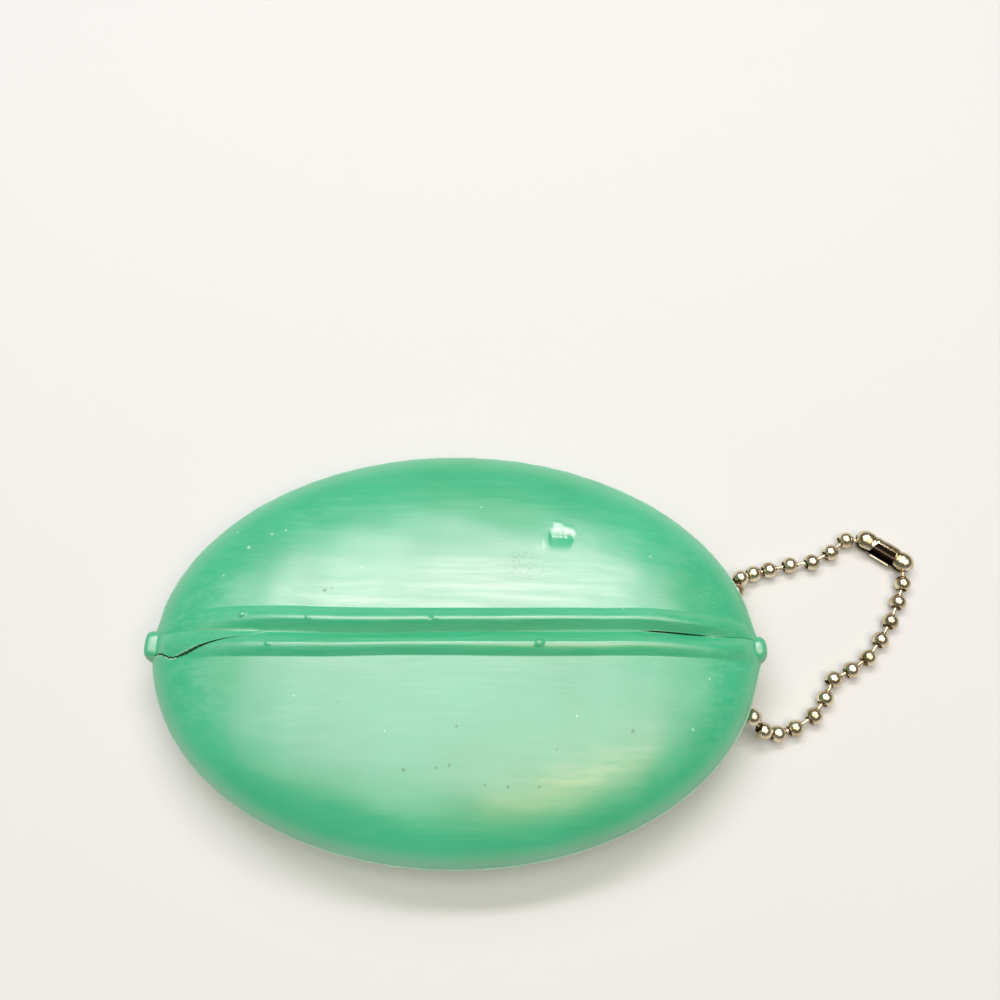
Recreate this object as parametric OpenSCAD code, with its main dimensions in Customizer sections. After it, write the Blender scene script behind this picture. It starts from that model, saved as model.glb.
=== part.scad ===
// Squeeze coin purse: one oval vinyl moulding with a slit mouth, and a ball chain through its eyelet.
// X runs along the slit, Z up, and the origin is the middle of the flat that the purse rests on.

/* [Body] */
// Length of the oval body, without the end nubs
body_len = 81; // [76:0.5:88]
// Width of the oval body across the slit
body_w = 57; // [52:0.5:62]
// Height of the widest line, the rim, above the resting flat
rim_h = 7.5; // [7:0.1:8]
// How far the slit face domes above the rim
dome_up = 8.1; // [7.5:0.1:9]
// How far the back's crown would reach below the rim, before the flat cuts it
dome_down = 8.3; // [8.1:0.1:8.8]
// Fullness of the domes: 2 is an ellipse, more is squarer
fullness = 2.2; // [2:0.05:2.6]
// Thickness of the vinyl wall
wall = 2; // [1.5:0.1:2.5]
// Length of the solid vinyl at each end of the slit
tip_len = 5; // [4:0.25:6]

/* [Back strip] */
// Width of the strip along the back that the two halves bend from
strip_w = 8; // [6:0.5:12]
// Gap along each bending line
seam_gap = 0.25; // [0.2:0.05:0.4]

/* [Lips] */
// Width of the raised rib along each lip
rib_w = 3.4; // [2.8:0.1:4]
// Rise of the rib above the line from its outer edge to the slit
rib_rise = 1.35; // [0.8:0.05:1.8]
// Drop from the rib's outer edge to the bottom of the groove at the slit
groove_drop = 0.7; // [0.3:0.05:1.2]
// Share of its width that the rib has lost at the ends
rib_taper = 0.48; // [0.3:0.02:0.6]
// Gap between the two lips at rest
lip_gap = 0.3; // [0.2:0.05:0.5]

/* [End nubs] */
// Diameter of the upright nub at each end
nub_d = 2.8; // [2.2:0.1:3.4]
// Overall height of the nub
nub_h = 5.3; // [4.5:0.1:6.5]
// How far the nub stands out past the body
nub_out = 1.5; // [1:0.1:2]

/* [Eyelet] */
// Bore of the eyelet that the chain passes through
eyelet_bore = 2.9; // [2.8:0.05:3.1]
// Vinyl around the bore
eyelet_wall = 1.15; // [0.9:0.05:1.3]
// Thickness of the eyelet
eyelet_t = 2; // [1.6:0.1:2.4]
// Distance from the body's end back to the bore
eyelet_inset = 1.5; // [1:0.1:2.5]
// Height of the bore above the resting flat
eyelet_h = 2.9; // [2.75:0.05:3]

/* [Ball chain] */
// Diameter of a bead
bead_d = 2.4; // [2.3:0.02:2.44]
// Thickness of a bead's shell
bead_wall = 0.18; // [0.14:0.01:0.22]
// Diameter of the wire of a link
wire_d = 0.6; // [0.5:0.05:0.65]
// Play around the wire in the hole of a bead
hole_play = 0.45; // [0.4:0.01:0.48]
// How far a link's head overhangs the hole that holds it
head_lip = 0.07; // [0.04:0.01:0.09]
// Thickness of a link's head
head_t = 0.22; // [0.15:0.01:0.26]

/* [Connector] */
// Sheet thickness of the connector
sheet_t = 0.25; // [0.2:0.01:0.28]
// Play around a bead in the connector
socket_play = 0.1; // [0.06:0.01:0.11]
// Width of the slot that the wires leave by
slot_w = 1.5; // [1.3:0.05:1.7]
// Length of the window that a bead goes in by
window_len = 3.4; // [2.9:0.1:3.8]

/* [Hidden] */
half_len = body_len / 2;
half_w = body_w / 2;
tip_x = half_len - tip_len;
strip_edge = strip_w / 2;

// The eyelet's bore, where the chain's middle bead sits
eyelet = [half_len - eyelet_inset, 0, eyelet_h];
eyelet_r = eyelet_bore / 2 + eyelet_wall;

// Chain sizes that follow from the bead and the wire
bead_r = bead_d / 2;
wire_r = wire_d / 2;
cavity_r = bead_r - bead_wall;
hole_r = wire_r + hole_play;
head_r = hole_r + head_lip;
head_gap = 0.05;
head_far = sqrt(cavity_r * cavity_r - head_r * head_r) - head_gap;
head_near = head_far - head_t;

// The beads' places on the floor and up to the eyelet, X counted from the bore.
// The run starts and ends in the connector, and bead 13 sits in the eyelet.
route = [
    [20.8, 18.9, 1.6], [18, 19.1, 1.2], [15.5, 17.1, 1.2], [12.6, 15.5, 1.2], [9.3, 15, 1.2],
    [6.2, 14.2, 1.2], [3.8, 13.6, 1.2], [1.7, 12.6, 2], [0.7, 10.3, 2.6], [0.1, 7.9, 2.9],
    [0, 5.3, 2.9], [0, 2.7, 2.9], [0, 0, 2.9], [0.1, -2.7, 2.9], [0.5, -5.5, 3.1],
    [1.3, -8, 3.5], [2.9, -9.6, 2.4], [5.1, -9.7, 1.2], [7.5, -8.9, 1.2], [10.3, -7.2, 1.2],
    [12.1, -4.7, 1.2], [13.6, -2, 1.2], [16.3, -0.6, 1.2], [18.9, 1.2, 1.2], [21, 3.8, 1.2],
    [22.8, 6.6, 1.2], [24.3, 9.5, 1.2], [25.4, 12.3, 1.2], [25.8, 15.4, 1.6]
];
bead_n = len(route);
function place(i) = [eyelet.x + route[i - 1].x, route[i - 1].y, route[i - 1].z];

// The bead that each link starts from, listed by the run of chain that folds as one
near_links = [for (i = [6:18]) i];
mid_links = [4, 5, 19, 20];
far_links = [3, 21, 22, 23, 24];
end_links = [1, 2, 25, 26, 27, 28];

function two_digits(i) = i < 10 ? str("0", i) : str(i);
function bead_name(i) = str("bead_", two_digits(i));

vinyl = [0.28, 0.72, 0.52];
nickel = [0.78, 0.74, 0.66];
wire_colour = [0.7, 0.67, 0.6];

// Grid of the vinyl surfaces: stations along X, steps round the section and steps over a rib
half_stations = 32;
tip_stations = 7;
arc_n = 18;
rib_n = 7;
tip_arc_n = 8;
strip_n = 5;
tip_end_angle = 86;
land_angle = 3;
// How far the back strip runs into the solid ends, and how far its skin is drawn in there
strip_embed = 0.8;
strip_draw_in = 0.4;
// The strip keeps to this share of the body's width where the ends narrow
strip_share = 0.6;

// How high the dome stands at a share q of its reach, and how far it reaches at a share q of its height
function share(q) = pow(max(0, 1 - pow(q, fullness)), 1 / fullness);

// The angle up the section at x where the skin, drawn in by inset, is y from the middle
function angle_at(x, y, inset) =
    let (
        along = abs(x) / (half_len - inset),
        across = abs(y) / (half_w - inset)
    )
    asin(share(sqrt(along * along + across * across)) / share(along));

// A point of the skin at station x and angle t: -90 is the back's middle, 0 the rim and 90 the slit
function skin(x, t, inset) =
    let (
        along = abs(x) / (half_len - inset),
        lift = share(along) * abs(sin(t)),
        reach = share(lift),
        y = (half_w - inset) * sqrt(max(0, reach * reach - along * along)),
        up = rim_h + (dome_up - inset) * lift,
        down = max(inset, rim_h - (dome_down - inset) * lift)
    )
    [x, y, t > 0 ? up : down];

// Half the width of the two ribs together, which narrows towards the nubs
function rib_edge(x) = rib_w * (1 - rib_taper * pow(abs(x) / half_len, 6));

// A point over the rib: 0 is its outer edge and 180 the slit
function rib_point(x, phi) =
    let (
        edge = skin(x, angle_at(x, rib_edge(x), 0), 0),
        inner = lip_gap / 2,
        y = inner + (edge.y - inner) * (1 + cos(phi)) / 2,
        z = edge.z - groove_drop * (1 - cos(phi)) / 2 + rib_rise * sin(phi)
    )
    [x, y, z];

// Stations along X between two places, closer together towards the tips
function stations(x0, x1, n) =
    let (a0 = asin(x0 / half_len), a1 = asin(x1 / half_len))
    [for (i = [0:n]) i == 0 ? x0 : i == n ? x1 : half_len * sin(a0 + (a1 - a0) * i / n)];

// The outside of the far half at station x, from its bending line round the rim and over its lip
function half_outside(x) =
    let (
        a0 = -angle_at(x, strip_edge + seam_gap, 0),
        a1 = angle_at(x, rib_edge(x), 0)
    )
    concat(
        [for (i = [0:arc_n]) skin(x, a0 + (a1 - a0) * i / arc_n, 0)],
        [for (k = [1:rib_n]) rib_point(x, 180 * k / rib_n)]
    );

// The inside of the far half at station x, with a point for each one of the outside
function half_inside(x) =
    let (
        a0 = -angle_at(x, strip_edge + seam_gap, wall),
        a1 = angle_at(x, rib_edge(x), wall),
        lip = lip_gap / 2
    )
    concat(
        [for (i = [0:arc_n]) skin(x, a0 + (a1 - a0) * i / arc_n, wall)],
        [
            for (k = [1:rib_n])
            let (y = lip + (rib_edge(x) - lip) * (1 - k / rib_n))
            skin(x, angle_at(x, y, wall), wall)
        ]
    );

// Half the width of the strip at station x
function strip_half(x) = min(strip_edge, strip_share * half_w * sqrt(1 - pow(x / half_len, 2)));

// The strip's skin across the back at station x
function strip_line(x, inset) = [
    for (i = [0:strip_n])
    let (
        y = strip_half(x) * (2 * i / strip_n - 1),
        p = skin(x, -angle_at(x, y, inset), inset)
    )
    [x, y, p.z]
];

function mirrored(points) = [for (i = [len(points) - 1:-1:0]) [points[i].x, -points[i].y, points[i].z]];

// The top of a solid end at station x, from the near rim over both ribs to the far rim
function tip_top(x) =
    let (
        a1 = angle_at(x, rib_edge(x), 0),
        far = concat(
            [for (k = [rib_n:-1:1]) rib_point(x, 180 * k / rib_n)],
            [for (i = [tip_arc_n:-1:0]) skin(x, land_angle + (a1 - land_angle) * i / tip_arc_n, 0)]
        )
    )
    concat(mirrored(far), far);

// The bottom of a solid end at station x, with a point for each one of the top
function tip_bottom(x) =
    let (
        n = rib_n + tip_arc_n + 1 - (strip_n + 1) / 2,
        a0 = -angle_at(x, strip_half(x), 0),
        far = [for (i = [1:n]) skin(x, a0 - (a0 + land_angle) * i / n, 0)]
    )
    concat(mirrored(far), strip_line(x, 0), far);

// A closed solid between two surfaces, each given as one line of points per station
module loft(lines_a, lines_b) {
    n = len(lines_a[0]);
    ring = 2 * n;
    last = len(lines_a) - 1;
    points = [
        for (j = [0:last])
        for (i = [0:ring - 1])
        i < n ? lines_a[j][i] : lines_b[j][ring - 1 - i]
    ];
    walls = [
        for (j = [0:last - 1])
        for (i = [0:ring - 1])
        let (
            a = j * ring + i,
            b = j * ring + (i + 1) % ring
        )
        each [[a, b + ring, b], [a, a + ring, b + ring]]
    ];
    caps = [
        for (i = [0:n - 2])
        let (k = ring - 1 - i, top = last * ring)
        each [
            [i, i + 1, k - 1], [i, k - 1, k],
            [top + i, top + k - 1, top + i + 1], [top + i, top + k, top + k - 1]
        ]
    ];
    polyhedron(points = points, faces = concat(walls, caps), convexity = 8);
}

// Turns what is drawn along Z to lie along a direction
module along(direction) {
    rotate([0, acos(direction.z / norm(direction)), atan2(direction.y, direction.x)]) children();
}

// The half of the moulding beyond the slit
module half_shell() {
    xs = stations(-tip_x + seam_gap, tip_x - seam_gap, half_stations);
    loft([for (x = xs) half_outside(x)], [for (x = xs) half_inside(x)]);
}

module far_half() {
    color(vinyl) half_shell();
}

module near_half() {
    color(vinyl) mirror([0, 1, 0]) half_shell();
}

// A solid end of the moulding, where the slit stops
module tip() {
    xs = stations(tip_x, half_len * sin(tip_end_angle), tip_stations);
    loft([for (x = xs) tip_bottom(x)], [for (x = xs) tip_top(x)]);
}

// An upright rounded nub on the end of the slit
module nub() {
    r = nub_d / 2;
    straight = nub_h - nub_d;
    translate([half_len + nub_out - r, 0, rim_h]) {
        cylinder(r = r, h = straight, center = true, $fn = 32);
        for (side = [-1, 1]) translate([0, 0, side * straight / 2]) sphere(r = r, $fn = 32);
    }
}

// The lug below one end, which the chain runs through
module eyelet_lug() {
    translate(eyelet) rotate([90, 0, 0]) cylinder(r = eyelet_r, h = eyelet_t, center = true, $fn = 48);
    translate([eyelet.x - eyelet_r, -eyelet_t / 2, eyelet.z])
        cube([half_len + nub_out - nub_d / 2 - eyelet.x + eyelet_r, eyelet_t, rim_h - eyelet.z]);
}

// The part of the moulding that stays still: the strip along the back, both ends, nubs and eyelet
module back_strip() {
    bare = stations(-tip_x, tip_x, half_stations);
    hidden = tip_x + strip_embed;
    xs = concat([-hidden], bare, [hidden]);
    color(vinyl) difference() {
        union() {
            loft(
                [for (x = xs) strip_line(x, abs(x) > tip_x ? strip_draw_in : 0)],
                [for (x = xs) strip_line(x, wall)]
            );
            tip();
            mirror([1, 0, 0]) tip();
            nub();
            mirror([1, 0, 0]) nub();
            eyelet_lug();
        }
        translate(eyelet) rotate([90, 0, 0]) cylinder(r = eyelet_bore / 2, h = eyelet_t + 1, center = true, $fn = 48);
    }
}

// A hollow bead with a hole at each end, turned to the mean of its two links
module bead(i) {
    before = place(max(1, i - 1));
    after = place(min(bead_n, i + 1));
    color(nickel) translate(place(i)) along(after - before) difference() {
        sphere(r = bead_r, $fn = 40);
        sphere(r = cavity_r, $fn = 40);
        cylinder(r = hole_r, h = bead_d + 1, center = true, $fn = 32);
    }
}

// A link from bead i to the next: a wire with a head inside each bead
module link(i) {
    span = place(i + 1) - place(i);
    length = norm(span);
    translate(place(i)) along(span) {
        translate([0, 0, head_near]) cylinder(r = wire_r, h = length - 2 * head_near, $fn = 24);
        for (z = [head_near, length - head_far]) translate([0, 0, z]) cylinder(r = head_r, h = head_t, $fn = 32);
    }
}

module links_near() {
    color(wire_colour) for (i = near_links) link(i);
}

module links_mid() {
    color(wire_colour) for (i = mid_links) link(i);
}

module links_far() {
    color(wire_colour) for (i = far_links) link(i);
}

module links_end() {
    color(wire_colour) for (i = end_links) link(i);
}

// The half outline of a round-ended tube about two bead sockets
module pill_outline(r, span) {
    translate([0, -span / 2]) square([r, span]);
    for (side = [-1, 1]) translate([0, side * span / 2]) circle(r = r, $fn = 48);
}

// The folded sheet connector: two sockets for the end beads, a slot for the wires and a window between
module connector() {
    first = place(1);
    last = place(bead_n);
    span = last - first;
    socket_r = bead_r + socket_play;
    shell_r = socket_r + sheet_t;
    reach = norm(span) + 2 * shell_r + 1;
    slot_roll = 12;
    color(nickel) translate((first + last) / 2) rotate([0, 0, atan2(span.y, span.x)]) rotate([slot_roll, 0, 0])
        difference() {
            rotate([0, 90, 0]) rotate_extrude($fn = 48) intersection() {
                difference() {
                    pill_outline(shell_r, norm(span));
                    pill_outline(socket_r, norm(span));
                }
                translate([0, -reach / 2]) square([shell_r + 1, reach]);
            }
            translate([-reach / 2, -shell_r - 1, -slot_w / 2]) cube([reach, shell_r + 1, slot_w]);
            translate([-window_len / 2, -shell_r - 1, -shell_r - 1])
                cube([window_len, shell_r + 1, 2 * shell_r + 2]);
        }
}

back_strip();
far_half();
near_half();
connector();
links_near();
links_mid();
links_far();
links_end();
for (i = [1:bead_n]) bead(i);
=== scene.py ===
import bpy
import numpy as np
from mathutils import Matrix, Vector
from mathutils.geometry import tessellate_polygon


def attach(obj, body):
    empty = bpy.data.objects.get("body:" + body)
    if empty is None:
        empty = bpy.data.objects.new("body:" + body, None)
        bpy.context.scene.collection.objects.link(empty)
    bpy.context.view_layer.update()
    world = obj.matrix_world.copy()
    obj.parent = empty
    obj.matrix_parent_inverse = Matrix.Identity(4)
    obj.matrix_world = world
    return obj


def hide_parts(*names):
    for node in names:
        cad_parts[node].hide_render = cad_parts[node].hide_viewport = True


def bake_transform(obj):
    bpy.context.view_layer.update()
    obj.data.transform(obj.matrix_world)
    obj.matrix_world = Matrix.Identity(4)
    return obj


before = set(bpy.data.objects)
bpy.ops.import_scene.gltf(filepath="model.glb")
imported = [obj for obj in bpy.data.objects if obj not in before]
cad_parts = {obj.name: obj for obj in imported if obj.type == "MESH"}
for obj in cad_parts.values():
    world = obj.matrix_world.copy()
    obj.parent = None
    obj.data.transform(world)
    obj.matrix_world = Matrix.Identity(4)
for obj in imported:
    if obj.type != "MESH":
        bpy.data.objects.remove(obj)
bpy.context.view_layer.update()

# The table and the studio.
# The purse lies on a plain pale table. Two long softboxes beyond it make the bright band beside the
# far lip and its soft upper edge, a broad one overhead lifts the near dome, and a small warm lamp
# leaves its streak low on the near side.

MM = 0.001
PALE_TABLE = (0.7, 0.694, 0.682)
TABLE_RADIUS = 1.5
CAMERA_MM = (6.507, -40.11, 140.87)
CAMERA_RIGHT = (0.9999, 0.0129, 0.0)
CAMERA_FORWARD = (-0.0054, 0.4226, -0.9063)
FOCAL_PX = 1020
FRAME_PX = 1000
SENSOR_MM = 36
STUDIO_TINT = (1.0, 0.985, 0.96)
HORIZON_LIGHT = 0.7
MIDDLE_LIGHT = 0.12
OVERHEAD_LIGHT = 0.17
WHITE_LAMP = (1, 1, 1)
WARM_LAMP = (1, 0.74, 0.36)
SOFTBOXES = [
    ("far_softbox", (-0.022, 0.22, 0.45), (0, 0.008, 0.015), (0.52, 0.07), 1.4, WHITE_LAMP),
    ("high_far_softbox", (-0.01, 0.31, 0.385), (0, 0.012, 0.015), (0.46, 0.1), 0.2, WHITE_LAMP),
    ("overhead_softbox", (0.0, -0.21, 2.25), (0, -0.01, 0), (3.4, 1.5), 37, WHITE_LAMP),
    ("warm_lamp", (0.15, -0.22, 0.46), (0.012, -0.02, 0.01), (0.24, 0.075), 0.36, WARM_LAMP),
]


def linear(red, green, blue):
    """A colour of 0 to 255 as it is seen on a screen, in Blender's linear values: each channel is
    raised to about 2.4."""
    srgb = np.array([red, green, blue]) / 255
    return tuple(np.where(srgb <= 0.04045, srgb / 12.92, ((srgb + 0.055) / 1.055) ** 2.4))


def look_through_camera():
    """A camera whose axes are the three that the photograph's view was worked out to have."""
    lens = bpy.data.cameras.new("camera")
    lens.sensor_width = SENSOR_MM
    lens.lens = SENSOR_MM * FOCAL_PX / FRAME_PX
    lens.clip_start = 0.005
    camera = bpy.data.objects.new("camera", lens)
    bpy.context.collection.objects.link(camera)
    forward = Vector(CAMERA_FORWARD).normalized()
    right = Vector(CAMERA_RIGHT).normalized()
    up = right.cross(forward)
    turn = Matrix((right, up, -forward)).transposed().to_4x4()
    camera.matrix_world = Matrix.Translation(Vector(CAMERA_MM) * MM) @ turn
    bpy.context.scene.camera = camera


def softbox(name, place, target, size, watts, colour):
    """A rectangular lamp at place that faces target, both in metres."""
    lamp = bpy.data.lights.new(name, "AREA")
    lamp.shape = "RECTANGLE"
    lamp.size, lamp.size_y = size
    lamp.energy = watts
    lamp.color = colour
    box = bpy.data.objects.new(name, lamp)
    box.location = place
    box.rotation_euler = (Vector(target) - Vector(place)).to_track_quat("-Z", "Y").to_euler()
    bpy.context.collection.objects.link(box)


def remap(tree, value, low, high, to_low=0.0, to_high=1.0):
    """A value stretched from low..high to to_low..to_high and held there."""
    node = tree.nodes.new("ShaderNodeMapRange")
    ends = {"From Min": low, "From Max": high, "To Min": to_low, "To Max": to_high}
    for name, number in ends.items():
        node.inputs[name].default_value = number
    tree.links.new(value, node.inputs["Value"])
    return node.outputs[0]


def maths(tree, kind, first, second):
    """A Math node on links or numbers."""
    node = tree.nodes.new("ShaderNodeMath")
    node.operation = kind
    for socket, value in zip(node.inputs, (first, second)):
        if isinstance(value, (int, float)):
            socket.default_value = value
        else:
            tree.links.new(value, socket)
    return node.outputs[0]


def surround():
    """A world that is pale at the horizon, darkest a third of the way up and a little paler
    overhead, so that metal has something to mirror."""
    world = bpy.data.worlds.new("studio")
    world.use_nodes = True
    tree = world.node_tree
    back = tree.nodes["Background"]
    back.inputs["Color"].default_value = (*STUDIO_TINT, 1)
    where = tree.nodes.new("ShaderNodeTexCoord")
    split = tree.nodes.new("ShaderNodeSeparateXYZ")
    tree.links.new(where.outputs["Generated"], split.inputs[0])
    low = remap(tree, split.outputs["Z"], 0.02, 0.34, HORIZON_LIGHT, MIDDLE_LIGHT)
    high = remap(tree, split.outputs["Z"], 0.3, 0.9, MIDDLE_LIGHT, OVERHEAD_LIGHT)
    tree.links.new(maths(tree, "MAXIMUM", low, high), back.inputs["Strength"])
    bpy.context.scene.world = world


def lay_table():
    """A flat round table top at height 0."""
    turn = np.linspace(0, 2 * np.pi, 128, endpoint=False)
    edge = np.stack([np.cos(turn), np.sin(turn), 0 * turn], -1) * TABLE_RADIUS
    mesh = bpy.data.meshes.new("table")
    mesh.from_pydata(edge.tolist(), [], [tuple(range(len(edge)))])
    table = bpy.data.objects.new("table", mesh)
    bpy.context.collection.objects.link(table)
    paint = bpy.data.materials.new("table_paint")
    paint.use_nodes = True
    shader = paint.node_tree.nodes["Principled BSDF"]
    shader.inputs["Base Color"].default_value = (*PALE_TABLE, 1)
    shader.inputs["Roughness"].default_value = 0.9
    shader.inputs["Specular IOR Level"].default_value = 0.1
    mesh.materials.append(paint)


look_through_camera()
lay_table()
surround()
for lamp in SOFTBOXES:
    softbox(*lamp)
bpy.context.scene.view_settings.view_transform = "Standard"

# The vinyl moulding.
# The real purse is one piece of soft vinyl about 2 mm thick, moulded closed and then slit by hand.
# It is drawn here as four quarters that meet at the slit and at the middle, and a strip along the
# back. Lengths are in millimetres, and each list of pairs is a place along X and the value there.

HALF_LENGTH = 40.5
HALF_WIDTH = 28.28
RIM_HEIGHT = 7.5
DOME_UP = 8.1
DOME_DOWN = 8.3
FULLNESS = 2.2
WALL = 2.0
STRIP_EDGE = 4.125
STATIONS = 290
LIP_STEPS = 76
SKIN_STEPS = 180
FACE_STEPS = 8
INNER_STEPS = 30


def share(q):
    """What is left of a height when a share q of the reach is used: (1 - q^m)^(1/m)."""
    return np.clip(1 - np.abs(q) ** FULLNESS, 0, None) ** (1 / FULLNESS)


def through(x, pairs):
    """A smooth curve of value against place through a few given pairs: cubic between each
    two, with the slopes of their neighbours."""
    places, values = np.array(pairs, float).T
    slopes = np.gradient(values, places)
    x = np.clip(x, places[0], places[-1])
    i = np.clip(np.searchsorted(places, x) - 1, 0, len(places) - 2)
    step = places[i + 1] - places[i]
    t = (x - places[i]) / step
    return (
        values[i] * (1 + 2 * t) * (1 - t) ** 2
        + slopes[i] * step * t * (1 - t) ** 2
        + values[i + 1] * t * t * (3 - 2 * t)
        - slopes[i + 1] * step * t * t * (1 - t)
    )


def fade(x, start, end):
    """0 before start, 1 after end, and a smooth step between."""
    t = np.clip((x - start) / (end - start), 0, 1)
    return t * t * (3 - 2 * t)


def hump(x, width):
    """A bell, 1 in the middle and about a third at width: e^-(x/width)^2."""
    return np.exp(-((x / width) ** 2))


SLIT = [
    (-40.5, 0.3), (-36, 0.6), (-30, 0.4), (-24, 0.1), (-16, -0.3), (-7, -0.3), (2, -0.1),
    (10, 0.15), (18, 0.45), (24, 0.7), (32, 0.6), (36, 0.75), (38.5, 0.9), (40.5, 0.9),
]
RIP = [
    (-40.5, -2.3), (-39, -2.2), (-37, -2.95), (-35, -2.6), (-33, -1.9), (-30, -1.1), (-27, -0.7),
    (-25.5, -0.5),
]
RIP_STARTS = (23.5, 26.5)
RIP_TEETH = 0.05


def slit_line(x):
    """How far the slit lies beyond the middle line at x: it wanders a little, as it was cut by
    hand."""
    return through(x, SLIT)


def rip_line(x):
    """The line where the mouth really parts: the slit, but at its left end a rip that crosses the
    near lip to the nub, with two waves of small teeth near its end."""
    rip = through(x, RIP)
    teeth = np.sin(x * 9.1) + 0.7 * np.sin(x * 16.7 + 1)
    rip = rip + fade(-x, 31, 34) * RIP_TEETH * teeth
    ripped = fade(-x, *RIP_STARTS)
    return slit_line(x) * (1 - ripped) + rip * ripped


RIPPED_GAPE = [
    (0, 0), (24, 0), (26, 0), (29, 0.05), (32.5, 0.13), (35, 0.19), (36.5, 0.09), (38, 0.1),
    (40.5, 0.05),
]
SLACK_GAPE = [
    (0, 0), (23, 0), (24.6, 0.01), (25.2, 0.05), (28, 0.1), (31, 0.1), (33, 0.04), (33.8, 0),
    (36, 0), (40.5, 0),
]
CLOSED_GAPE = 0.008


def gape(x):
    """Half the width of the gap between the lips at x: closed, but for the rip at the left and a
    slack stretch at the right."""
    parted = np.where(x < 0, through(-x, RIPPED_GAPE), through(x, SLACK_GAPE))
    return np.maximum(parted, 0) + CLOSED_GAPE


FAR_FOOT = [
    (-40.5, 1.0), (-35, 2.3), (-31, 2.85), (-27, 3.05), (-20, 3.2), (-7, 3.05), (10, 2.85),
    (20, 2.8), (29, 2.9), (37, 2.2), (40.5, 1.1),
]
NEAR_FOOT = [
    (-40.5, 3.2), (-36, 3.6), (-26, 3.6), (-16, 3.3), (-7, 3.15), (10, 3.5), (24, 3.5),
    (31, 3.2), (37, 3.1), (40.5, 2.8),
]
FAR_RISE = [
    (-40.5, 0.05), (-35, 0.12), (-31, 0.3), (-28, 0.55), (-23, 0.95), (-16, 1.0), (20, 1.0),
    (26, 1.0), (33, 0.7), (37, 0.25), (40.5, 0.05),
]
NEAR_RISE = [
    (-40.5, 0.3), (-33, 0.55), (-26, 0.85), (-20, 0.97), (-14, 1.0), (18, 1.0), (24, 1.0),
    (33, 0.75), (38, 0.5), (40.5, 0.3),
]
RIB_HEIGHT = 1.22
RIB_SHARPNESS = 0.2
FAR_CREST = 0.44
NEAR_CREST = 0.55
GROOVE_DROP = 0.7
BEYOND_SLOPE = 1.1
FOOT_FILLET = 0.05


def roof(e, crest):
    """The height across a rib, 0 at e = -1 and 1 and 1 at its crest: a roof with a rounded ridge,
    mixed with a low arch."""
    round_top = np.sqrt(1 + crest * crest)
    ridge = (round_top - np.sqrt(e * e + crest * crest)) / (round_top - crest)
    return 0.55 * ridge + 0.45 * (1 - e * e)


def lip_height(x, y):
    """How far the two ribs and the groove between them stand above the dome at x, y. Each rib is a
    roof on a floor that rises evenly from the groove to the rib's foot, with a small fillet."""
    u = y - slit_line(x)
    foot = np.where(u > 0, through(x, FAR_FOOT), through(x, NEAR_FOOT))
    rise = np.where(u > 0, through(x, FAR_RISE), through(x, NEAR_RISE))
    q = np.abs(u) / foot
    left_end, right_end = 0.85 * fade(-x, 31, 38), 0.7 * fade(x, 34, 38.5)
    drop = GROOVE_DROP * np.minimum(rise + 0.15, 1) * (1 - left_end - right_end)
    crest_at = np.where(u > 0, FAR_CREST, NEAR_CREST)
    e = np.where(q < crest_at, (crest_at - q) / crest_at, (q - crest_at) / (1 - crest_at))
    shape = -drop * (1 - q) + (RIB_HEIGHT * rise) * roof(np.minimum(e, 1), RIB_SHARPNESS)
    beyond = -BEYOND_SLOPE * (q - 1) * foot
    shape = np.where(q > 1, beyond, shape)
    smooth = FOOT_FILLET * np.logaddexp(0, shape / FOOT_FILLET)
    keep_groove = fade(q, 0.45, 0.75)
    return shape * (1 - keep_groove) + smooth * keep_groove


def swell(x, y):
    """The slow unevenness of the skin, a few hundredths of a millimetre high: four crossing
    waves."""
    long_waves = np.sin(0.42 * x + 0.35 * y + 1.0) + np.sin(-0.23 * x + 0.61 * y + 2.2)
    return 0.02 * (
        long_waves + 0.6 * np.sin(0.93 * x - 0.2 * y) + 0.5 * np.sin(0.31 * x + 1.25 * y + 0.5)
    )


# Each pip of trapped air: its place along and across, its radius and its height.
PIPS = [
    (-27.7, 2.25, 0.55, 0.4), (11.0, -1.8, 0.58, 0.34), (-18.7, 1.4, 0.4, 0.12),
    (-23.6, -2.0, 0.4, 0.12), (-2.2, 1.4, 0.45, 0.1),
]
NICK = (-2.9, 1.5)
NICK_DEPTH = 0.22
SCAR = (14.0, 13.2)
SCAR_EDGE = 0.08
SCAR_DEPTH = 0.36
WELT = (-2.25, -0.75)
WELT_HEIGHT = 0.08


def torn_patch(u, v):
    """How much a point is on the scar's torn edge: 1 between a level line and a crest that falls to
    the right, less in a small pit, 0 outside."""
    inside = fade(v, 0.7, 0.95) * (1 - fade(v - (2.35 - 0.44 * u), -0.2, 0.15))
    inside = inside * fade(u + 1.25 - 0.15 * v, -0.15, 0.15) * (1 - fade(u, 1.8, 2.2))
    return inside * (1 - 0.6 * np.exp(-((u - 0.05) ** 2 + (v - 1.45) ** 2) / 0.07))


def chip_floor(u, v):
    """How deep the scar's floor lies, 0 to 1: it sinks evenly away from the near side, then ends at
    the torn edge."""
    sinks = np.clip((v + 1.4) / 2.0, 0, 1) * (1 - fade(v, 0.65, 1.0))
    return sinks * fade(u, -1.65, -1.25) * (1 - fade(u - 0.25 * v, 1.3, 1.75))


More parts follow.
